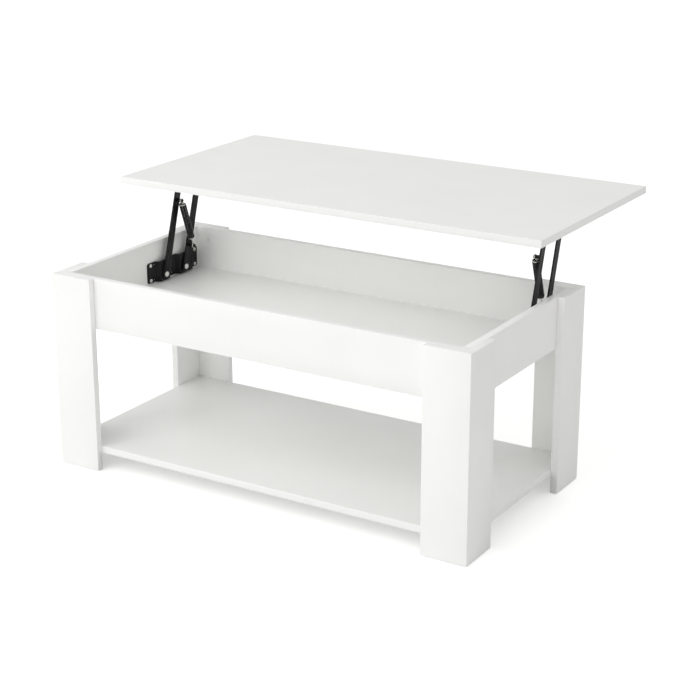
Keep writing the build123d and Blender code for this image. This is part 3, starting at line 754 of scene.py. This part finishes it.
class StageSettings(bpy.types.PropertyGroup):
    """Camera, floor and light."""

    camera_place: place_property("Camera place", "Where the camera stands", (1.789, -2.79, 1.403))
    heading: number_property("Heading", "Camera's turn about Z from +Y", math.radians(31.47), subtype="ANGLE")
    tilt: number_property("Tilt", "How far the camera looks down", math.radians(18.97), subtype="ANGLE")
    focal_length: number_property("Lens", "Focal length in millimetres", 89.0)
    sensor_width: number_property("Sensor", "Width of the camera's sensor in millimetres", 36.0)
    aim_height: number_property("Aim height", "Where the lights point, above the floor", 0.35, unit="LENGTH")
    floor_half: number_property("Floor half", "Half the side of the floor", 40.0, unit="LENGTH")
    floor_colour: colour_property("Floor", "Pale studio floor", "#F6F6F5")
    floor_glow: number_property("Floor glow", "Lift of the floor seen directly", 0.45)
    surround: number_property("Surround", "Even light from all round", 0.66)
    box_size: number_property("Box size", "Side of each light", 3.0, unit="LENGTH")
    key_power: number_property("Key", "High light in front", 57.0, unit="POWER")
    key_place: place_property("Key place", "Where the key hangs", (-1.0, -3.3, 3.8))
    front_power: number_property("Front", "Low light in front", 20.0, unit="POWER")
    front_place: place_property("Front place", "Where the front light stands", (-1.2, -4.4, 1.9))
    left_power: number_property("Left", "Light at the left", 37.0, unit="POWER")
    left_place: place_property("Left place", "Where the left light stands", (-4.4, -0.8, 2.3))


SETTINGS = {
    "table_colours": TableColours,
    "table_boards": BoardSettings,
    "table_lift": LiftSettings,
    "table_fasteners": FastenerSettings,
    "table_stage": StageSettings,
}

# ------------------------------------------------------------------ operators


class TABLE_OT_carcass(bpy.types.Operator):
    """Finish the legs, panels, compartment bottom and shelf."""

    bl_idname = "table.carcass"
    bl_label = "Carcass boards"

    def execute(self, context):
        for node in BOARDS + LEG_BOARDS:
            eased_board(node, "carcass", context.scene.table_boards.edge_round)
        return {"FINISHED"}


class TABLE_OT_top(bpy.types.Operator):
    """Finish the table top: its board and the four bands glued round it."""

    bl_idname = "table.top"
    bl_label = "Table top"

    def execute(self, context):
        data = bpy.data.meshes.new("table_top_finished")
        mesh = merged_copy("table_top")
        mesh.to_mesh(data)
        mesh.free()
        shade(data)
        data.materials.append(finish_for("white_board"))
        place_piece(new_object("table_top_finished", data), "table_top", ["table_top"])
        mesh = band_ring(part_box("top_edge_bands"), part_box("table_top"))
        bands = rounded_by_weight("top_edge_bands_finished", mesh, context.scene.table_boards.band_round, 4)
        bands.data.materials.clear()
        bands.data.materials.append(finish_for("white_edge_band"))
        place_piece(bands, "table_top", ["top_edge_bands"])
        return {"FINISHED"}


def band_ring(outer, core):
    """The four edge bands as one closed ring round the core, its outer edges marked for rounding."""
    mesh = bmesh.new()
    rings = []
    for low, high in (outer, core):
        for z in (outer[1].z, outer[0].z):
            corners = ((low.x, low.y), (high.x, low.y), (high.x, high.y), (low.x, high.y))
            rings.append([mesh.verts.new((x, y, z)) for x, y in corners])
    outer_top, outer_bottom, core_top, core_bottom = rings
    loop = [outer_top, core_top, core_bottom, outer_bottom]
    for first, second in zip(loop, loop[1:] + loop[:1]):
        for i in range(4):
            j = (i + 1) % 4
            mesh.faces.new((first[i], first[j], second[j], second[i]))
    bmesh.ops.recalc_face_normals(mesh, faces=mesh.faces)
    layer = weight_layer(mesh)
    for edge in mesh.edges:
        if on_box_edge(edge, *outer):
            edge[layer] = 1.0
    return mesh


class TABLE_OT_lift_steel(bpy.types.Operator):
    """Finish the base plates, top brackets, arms and stop studs of both lifts."""

    bl_idname = "table.lift_steel"
    bl_label = "Lift plates and arms"

    def execute(self, context):
        sizes = context.scene.table_lift
        bodies = {"base_plate": "carcass", "top_bracket": "table_top", "stop_stud": "carcass"}
        for end in ENDS:
            for piece, body in bodies.items():
                pressed_steel(f"{end}_{piece}", body, sizes.cut_edge, sizes.bend_round)
            for piece in ("front_arm", "rear_arm"):
                pressed_steel(f"{end}_{piece}", f"{end}_{piece}", sizes.cut_edge, sizes.bend_round)
        return {"FINISHED"}


def wire_hook(centre, towards, side, aside, eye, reach):
    """Path of an eye round a stud, and of the bend from it to the coil's middle, reach away from the stud."""
    points = []
    for i in range(EYE_STEPS + 1):
        angle = EYE_START + EYE_SWEEP * i / EYE_STEPS
        points.append(centre + eye * (side * math.sin(angle) * aside - math.cos(angle) * towards))
    leave = points[-1]
    knee = centre + towards * (eye + (reach - eye) * 0.25)
    finish = centre + towards * reach
    for i in range(1, HOOK_STEPS):
        t = i / HOOK_STEPS
        points.append((1 - t) ** 2 * leave + 2 * t * (1 - t) * knee + t * t * finish)
    return points


def spring_path(high, low, sizes):
    """Path of one spring's wire, from its upper eye round every turn to its lower eye."""
    wire = sizes.wire_diameter
    down = (low - high).normalized()
    across = Vector((1, 0, 0))
    aside = down.cross(across)
    coil = (sizes.coil_diameter - wire) / 2
    eye = (sizes.stud_neck + wire) / 2 + sizes.eye_gap
    pitch = wire + sizes.pitch_gap
    first = sizes.upper_hook - wire
    last = (low - high).length - (sizes.lower_hook - wire)
    turns = (last - first) / pitch
    steps = int(turns * sizes.turn_points)
    widen = 0.9  # turns over which the wire leaves the hook and reaches the coil's full width
    coil_points = []
    for i in range(steps + 1):
        turn = turns * i / steps
        opened = min(turn / widen, (turns - turn) / widen, 1.0)
        radius = coil * opened * opened * (3 - 2 * opened)
        angle = 2 * math.pi * turn
        ring = radius * (math.cos(angle) * aside + math.sin(angle) * across)
        coil_points.append(high + down * (first + pitch * turn) + ring)
    upper = wire_hook(high, down, 1, aside, eye, first - wire * 0.5)
    lower = wire_hook(low, -down, -1, aside, eye, sizes.lower_hook - wire * 1.5)
    return [*upper, *coil_points, *reversed(lower)]


def plate_and_highlight_ends(spring, high, down, start, end):
    """Leaves a spring bright nickel outside the stretch from start to end, measured from the upper stud:
    partly plating on the hooks, partly a painted highlight on the end turns.
    """
    spring.data.materials.append(finish_for("bright_steel"))
    for polygon in spring.data.polygons:
        along = (polygon.center - high).dot(down)
        polygon.material_index = 0 if start < along < end else 1


class TABLE_OT_springs(bpy.types.Operator):
    """Wind a spring from one wire at each end, hooked over its two studs."""

    bl_idname = "table.springs"
    bl_label = "Lift springs"

    def execute(self, context):
        sizes = context.scene.table_lift
        for end in ENDS:
            coil_box_middle = middle(f"{end}_lift_spring")
            high = middle(f"{end}_front_arm_spring_stud")
            low = middle(f"{end}_rear_arm_spring_stud")
            high.x = coil_box_middle.x
            low.x = coil_box_middle.x
            points = spring_path(high, low, sizes)
            mesh = bpy.data.meshes.new("spring_path")
            mesh.from_pydata([tuple(p) for p in points], [(i, i + 1) for i in range(len(points) - 1)], [])
            path = new_object("spring_path", mesh)
            values = {"Wire Diameter": sizes.wire_diameter, "Sides": 10, "Finish": finish_for("spring_steel")}
            name = f"{end}_wound_spring"
            spring = through_tree(path, tree_named("wire_along_path", wire_tree), values, name)
            down = (low - high).normalized()
            # The bright ends are partly plating and partly a painted highlight where the end turns catch the
            # light.
            bright = sizes.plated_and_highlit_turns * sizes.wire_diameter
            last = (low - high).length - sizes.lower_hook
            plate_and_highlight_ends(spring, high, down, sizes.upper_hook + bright, last - bright)
            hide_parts(f"{end}_lift_spring", f"{end}_lift_spring_tail")
            top_of_coil = high + down * sizes.upper_hook
            end_of_coil = low - down * sizes.lower_hook
            turning, sliding = f"{end}_lift_spring", f"{end}_lift_spring_tail"
            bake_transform(spring, turning, sliding, start=top_of_coil, end=end_of_coil)
        return {"FINISHED"}


class TABLE_OT_pivots(bpy.types.Operator):
    """Turn the pivot rivets, their washers and the spring studs."""

    bl_idname = "table.pivots"
    bl_label = "Pivots and studs"

    def execute(self, context):
        for place, body in (("base", "carcass"), ("top", "table_top")):
            rivets = [(f"{end}_{place}_rivets", inwards) for end, inwards in ENDS.items()]
            head = turned("rivet", rivet_profile(), segments=32)
            instanced_for(f"{place}_pivot_rivets", body, "bright_steel", rivets, head)
            washers = [(f"{end}_{place}_washers", inwards) for end, inwards in ENDS.items()]
            ring = turned("washer", washer_profile(), segments=32)
            instanced_for(f"{place}_pivot_washers", body, "white_plastic", washers, ring)
        for end, inwards in ENDS.items():
            for piece in ("front_arm", "rear_arm"):
                stud = turned("spring_stud", stud_profile(), segments=28)
                source = [(f"{end}_{piece}_spring_stud", inwards)]
                instanced_for(f"{end}_{piece}_turned_stud", f"{end}_{piece}", "black_steel", source, stud)
        return {"FINISHED"}


def rivet_profile():
    """A domed head with a faint dimple from the peening tool, a plain shank and a flat tail."""
    head_radius, head_height = 6.25, 2.5
    face = head_height + 6.2 + 2.0  # head, plates between head and tail, tail
    dome = arc((head_radius - 2.0, -2.0), 2.0, 90, 0, 5)
    return [
        (0, -0.2),
        (0.8, -0.15),
        (1.4, 0),
        *dome,
        (head_radius, -head_height),
        (4.0, -head_height),
        (4.0, -(face - 2.0)),
        (6.0, -(face - 2.0)),
        *arc((5.4, -(face - 0.6)), 0.6, 0, -90, 3),
        (0, -face),
    ]


def washer_profile():
    """A flat ring with slightly rounded corners, measured from its outer face."""
    inner, outer, thickness, corner = 4.05, 8.0, 0.8, 0.2
    return [
        (inner, 0),
        *arc((outer - corner, -corner), corner, 90, 0, 2),
        *arc((outer - corner, corner - thickness), corner, 0, -90, 2),
        (inner, -thickness),
    ]


def stud_profile():
    """A stud turned from bar: chamfered head, neck for the spring's eye, shoulder, and shank in the arm."""
    head, neck, shoulder = 4.0, 2.5, 3.75
    head_thickness, neck_length, total, shank = 1.6, 2.6, 17.4, 3.0
    shoulder_start = head_thickness + neck_length
    return [
        (0, -0.15),
        (0.6, 0),
        (head - 0.4, 0),
        (head, -0.4),
        (head, -head_thickness + 0.2),
        (head - 0.2, -head_thickness),
        (neck, -head_thickness),
        (neck, -shoulder_start),
        (shoulder - 0.25, -shoulder_start),
        (shoulder, -shoulder_start - 0.25),
        (shoulder, -(total - shank)),
        (neck, -(total - shank)),
        (neck, -total),
        (0, -total),
    ]


class TABLE_OT_screws(bpy.types.Operator):
    """Set pan-head cross-recess screws in the base plates and top brackets."""

    bl_idname = "table.screws"
    bl_label = "Lift screws"

    def execute(self, context):
        choices = context.scene.table_fasteners
        plate = [(f"{end}_base_plate_screws", inwards) for end, inwards in ENDS.items()]
        bracket = [(f"{end}_top_bracket_screws", INWARDS_Z) for end in ENDS]
        sets = (("plate_screws", "carcass", plate), ("bracket_screws", "table_top", bracket))
        for name, body, sources in sets:
            blank = turned("pan_screw", pan_screw_profile(), segments=24)
            screw = with_cross(blank, reach=4.6, width=1.0, depth=1.5)
            instanced_for(name, body, "bright_steel", sources, screw, choices.largest_turn, choices.seed)
        return {"FINISHED"}


def pan_screw_profile():
    """A low domed head over a threaded shank with a sharp point."""
    head, height, total, shank = 4.2, 2.4, 16.4, 2.0
    return [
        (0, 0),
        (1.6, -0.05),
        *arc((head - 1.6, -1.65), 1.6, 80, 0, 5),
        (head, -height),
        (1.7, -height),
        *threads(-height - 0.4, -total + 2.4, shank, 1.45, 1.1),
        (1.2, -total + 1.6),
        (0, -total),
    ]


class TABLE_OT_fittings(bpy.types.Operator):
    """Fit the cams, bolts, dowels, leg screws and their caps."""

    bl_idname = "table.fittings"
    bl_label = "Knock-down fittings"

    def execute(self, context):
        for node, slot in (("cam_housings", "zinc_fittings"), ("cam_bolts", "zinc_fittings")):
            self.refinish(node, slot)
        self.refinish("dowels", "beech_dowel")
        self.refinish("leg_screws", "zinc_fittings")
        places = []
        for low, high in loose_parts("screw_caps"):
            centre = (low + high) / 2
            inwards = SIDES["front"] if centre.y < 0 else SIDES["back"]
            places.append((centre + inwards * (high.y - low.y) / 2, inwards))
        cap = turned("cap", cap_profile(), segments=32)
        caps = instanced("pressed_in_caps", places, cap, "white_plastic")
        bpy.data.objects.remove(cap)
        place_piece(caps, "carcass", ["screw_caps"])
        return {"FINISHED"}

    def refinish(self, node, slot):
        """Gives a CAD node its material, its shape being right already."""
        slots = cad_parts[node].material_slots
        for slot_of_node in slots:
            slot_of_node.material = finish_for(slot)


def cap_profile():
    """A thin press-in cap: shallow dome with a soft rim."""
    radius, thickness = 6.5, 0.8
    return [
        (0, 0),
        (radius * 0.7, -0.05),
        *arc((radius - 0.5, -0.6), 0.5, 80, 0, 3),
        (radius, -thickness),
        (0, -thickness),
    ]


class TABLE_OT_pads(bpy.types.Operator):
    """Put the glides under the legs and the bumpers under the top."""

    bl_idname = "table.pads"
    bl_label = "Glides and bumpers"

    def execute(self, context):
        glide = turned("glide", glide_profile(), segments=32)
        instanced_for("nail_on_glides", "carcass", "white_plastic", [("leg_glides", INWARDS_Z)], glide)
        bumper = turned("bumper", bumper_profile(), segments=28)
        instanced_for("stick_on_bumpers", "table_top", "bumper_rubber", [("top_bumpers", INWARDS_Z)], bumper)
        return {"FINISHED"}


def glide_profile():
    """A round pad with a soft rim, and the nail that holds it."""
    radius, height, nail, nail_length = 6.0, 1.5, 1.5, 9.0
    return [
        (0, 0),
        (radius - 0.7, 0),
        *arc((radius - 0.7, -0.7), 0.7, 60, 0, 3),
        (radius, -height),
        (nail, -height),
        (nail, -height - nail_length + 2),
        (0, -height - nail_length),
    ]


def bumper_profile():
    """A low dome."""
    radius, height = 5.0, 1.5
    return [
        (0, 0),
        (2.0, -0.06),
        *arc((radius - 1.2, -1.2), 1.2, 75, 0, 4),
        (radius, -height),
        (0, -height),
    ]


class TABLE_OT_stage(bpy.types.Operator):
    """Lay the pale floor, hang the soft light and set up the camera."""

    bl_idname = "table.stage"
    bl_label = "Stage"

    def execute(self, context):
        stage = context.scene.table_stage
        self.lay_floor(stage)
        self.light(context, stage)
        self.camera(context, stage)
        return {"FINISHED"}

    def lay_floor(self, stage):
        """A wide, plain floor with the faint mottle of painted board."""
        half = stage.floor_half
        mesh = bpy.data.meshes.new("studio_floor")
        corners = [(-half, -half, 0), (half, -half, 0), (half, half, 0), (-half, half, 0)]
        mesh.from_pydata(corners, [], [(0, 1, 2, 3)])
        floor = new_object("studio_floor", mesh)
        colour = tuple(stage.floor_colour)
        values = {"Emission Color": colour, "Roughness": 0.9}
        material, tree, shader, place = surface("painted_floor_matt", **values)
        ray = add_node(tree, "ShaderNodeLightPath").outputs["Is Camera Ray"]
        glow = add_node(tree, "ShaderNodeMath", {"operation": "MULTIPLY"}, {0: ray, 1: stage.floor_glow})
        tree.links.new(glow.outputs[0], shader.inputs["Emission Strength"])
        darker = tuple(c * 0.985 for c in colour[:3]) + (1.0,)
        mottle = spread(tree, blotches(tree, place, 400), 0, 1)
        tree.links.new(between(tree, mottle, colour, darker), shader.inputs["Base Color"])
        mesh.materials.append(material)

    def light(self, context, stage):
        """An even surround, and three large soft lights."""
        for name in ("key", "front", "left"):
            lamp = bpy.data.lights.new(f"{name}_softbox", "AREA")
            lamp.size = stage.box_size
            lamp.energy = getattr(stage, f"{name}_power")
            softbox = bpy.data.objects.new(f"{name}_softbox", lamp)
            softbox.location = getattr(stage, f"{name}_place")
            aim = Vector((0, 0, stage.aim_height)) - softbox.location
            softbox.rotation_euler = aim.to_track_quat("-Z", "Y").to_euler()
            bpy.context.collection.objects.link(softbox)
        world = bpy.data.worlds.new("white_surround")
        world.use_nodes = True
        world.node_tree.nodes.clear()
        tree = world.node_tree
        white = (1.0, 1.0, 1.0, 1.0)
        seen = add_node(tree, "ShaderNodeBackground", inputs={"Color": white, "Strength": 1.0})
        lit = add_node(tree, "ShaderNodeBackground", inputs={"Color": white, "Strength": stage.surround})
        ray = add_node(tree, "ShaderNodeLightPath").outputs["Is Camera Ray"]
        mixed = add_node(tree, "ShaderNodeMixShader", inputs={0: ray, 1: lit.outputs[0], 2: seen.outputs[0]})
        add_node(tree, "ShaderNodeOutputWorld", inputs={"Surface": mixed.outputs[0]})
        context.scene.world = world
        context.scene.view_settings.view_transform = "Standard"

    def camera(self, context, stage):
        """A long lens from the front right, looking a little down."""
        data = bpy.data.cameras.new("camera")
        data.lens = stage.focal_length
        data.sensor_width = stage.sensor_width
        camera = bpy.data.objects.new("camera", data)
        camera.location = stage.camera_place
        camera.rotation_euler = Euler((math.pi / 2 - stage.tilt, 0, stage.heading))
        context.collection.objects.link(camera)
        context.scene.camera = camera


OPERATORS = (
    TABLE_OT_carcass,
    TABLE_OT_top,
    TABLE_OT_lift_steel,
    TABLE_OT_springs,
    TABLE_OT_pivots,
    TABLE_OT_screws,
    TABLE_OT_fittings,
    TABLE_OT_pads,
    TABLE_OT_stage,
)


class TABLE_PT_pieces(bpy.types.Panel):
    """Lists the table's pieces and settings."""

    bl_idname = "TABLE_PT_pieces"
    bl_label = "Lift Top Coffee Table"
    bl_space_type = "VIEW_3D"
    bl_region_type = "UI"
    bl_category = "Table"

    def draw(self, context):
        for operator in OPERATORS:
            self.layout.operator(operator.bl_idname)
        for name, group in SETTINGS.items():
            box = self.layout.box()
            for setting in group.__annotations__:
                box.prop(getattr(context.scene, name), setting)


def register():
    """Registers the settings, operators and panel."""
    for name, group in SETTINGS.items():
        bpy.utils.register_class(group)
        setattr(bpy.types.Scene, name, bpy.props.PointerProperty(type=group))
    for operator in OPERATORS:
        bpy.utils.register_class(operator)
    bpy.utils.register_class(TABLE_PT_pieces)


def unregister():
    """Takes everything that register added away again."""
    bpy.utils.unregister_class(TABLE_PT_pieces)
    for operator in reversed(OPERATORS):
        bpy.utils.unregister_class(operator)
    for name, group in reversed(SETTINGS.items()):
        delattr(bpy.types.Scene, name)
        bpy.utils.unregister_class(group)


def main():
    """Builds every piece in order."""
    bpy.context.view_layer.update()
    register()
    for operator in OPERATORS:
        group, call = operator.bl_idname.split(".")
        getattr(getattr(bpy.ops, group), call)()


if __name__ == "__main__":
    main()
